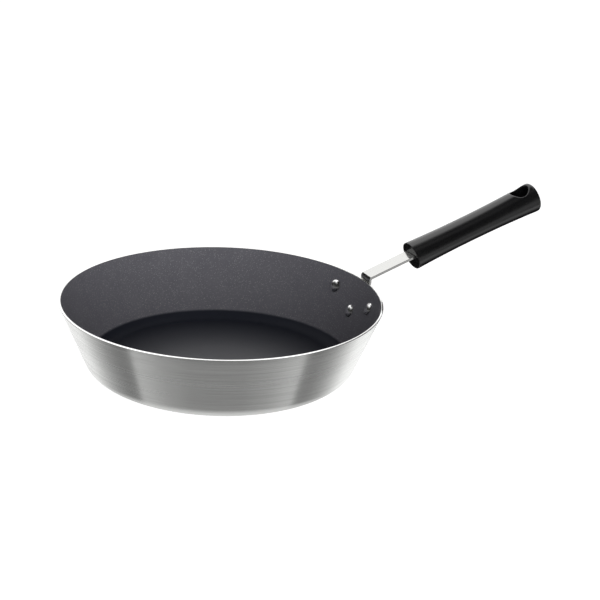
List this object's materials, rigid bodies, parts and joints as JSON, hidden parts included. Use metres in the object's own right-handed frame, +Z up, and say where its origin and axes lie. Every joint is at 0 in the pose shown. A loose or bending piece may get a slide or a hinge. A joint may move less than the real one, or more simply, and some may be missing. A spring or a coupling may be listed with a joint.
{
  "type": "frying pan",
  "caption": "Round flared aluminium frying pan with a dark non-stick inside, a riveted steel strap and a black moulded grip with a hanging hole, for cooking on a hob.",
  "frame": {"origin": "centre of the flat base, on the surface that the pan stands on", "axes": "+Z up along the pan's axis; +X from the pan's axis towards the handle; the part is symmetric left to right across the XZ plane"},
  "size_m": [0.4915, 0.3, 0.148],
  "materials": {
    "brushed_aluminium": "fine circumferential brushing outside, bright cut rim",
    "nonstick_coating": "satin dark grey non-stick with a fine pale speckle",
    "bracket_steel": "bright satin",
    "rivet_aluminium": "polished domed heads",
    "grip_phenolic": "satin black moulding",
    "screw_steel": "plain zinc-bright"
  },
  "bodies": {
    "root": {"pan_body": "brushed_aluminium", "nonstick_coating": "nonstick_coating", "handle_bracket": "bracket_steel", "rivet_left": "rivet_aluminium", "rivet_right": "rivet_aluminium", "rivet_lower": "rivet_aluminium", "handle_grip": "grip_phenolic", "grip_screw": "screw_steel"}
  },
  "joints": []
}
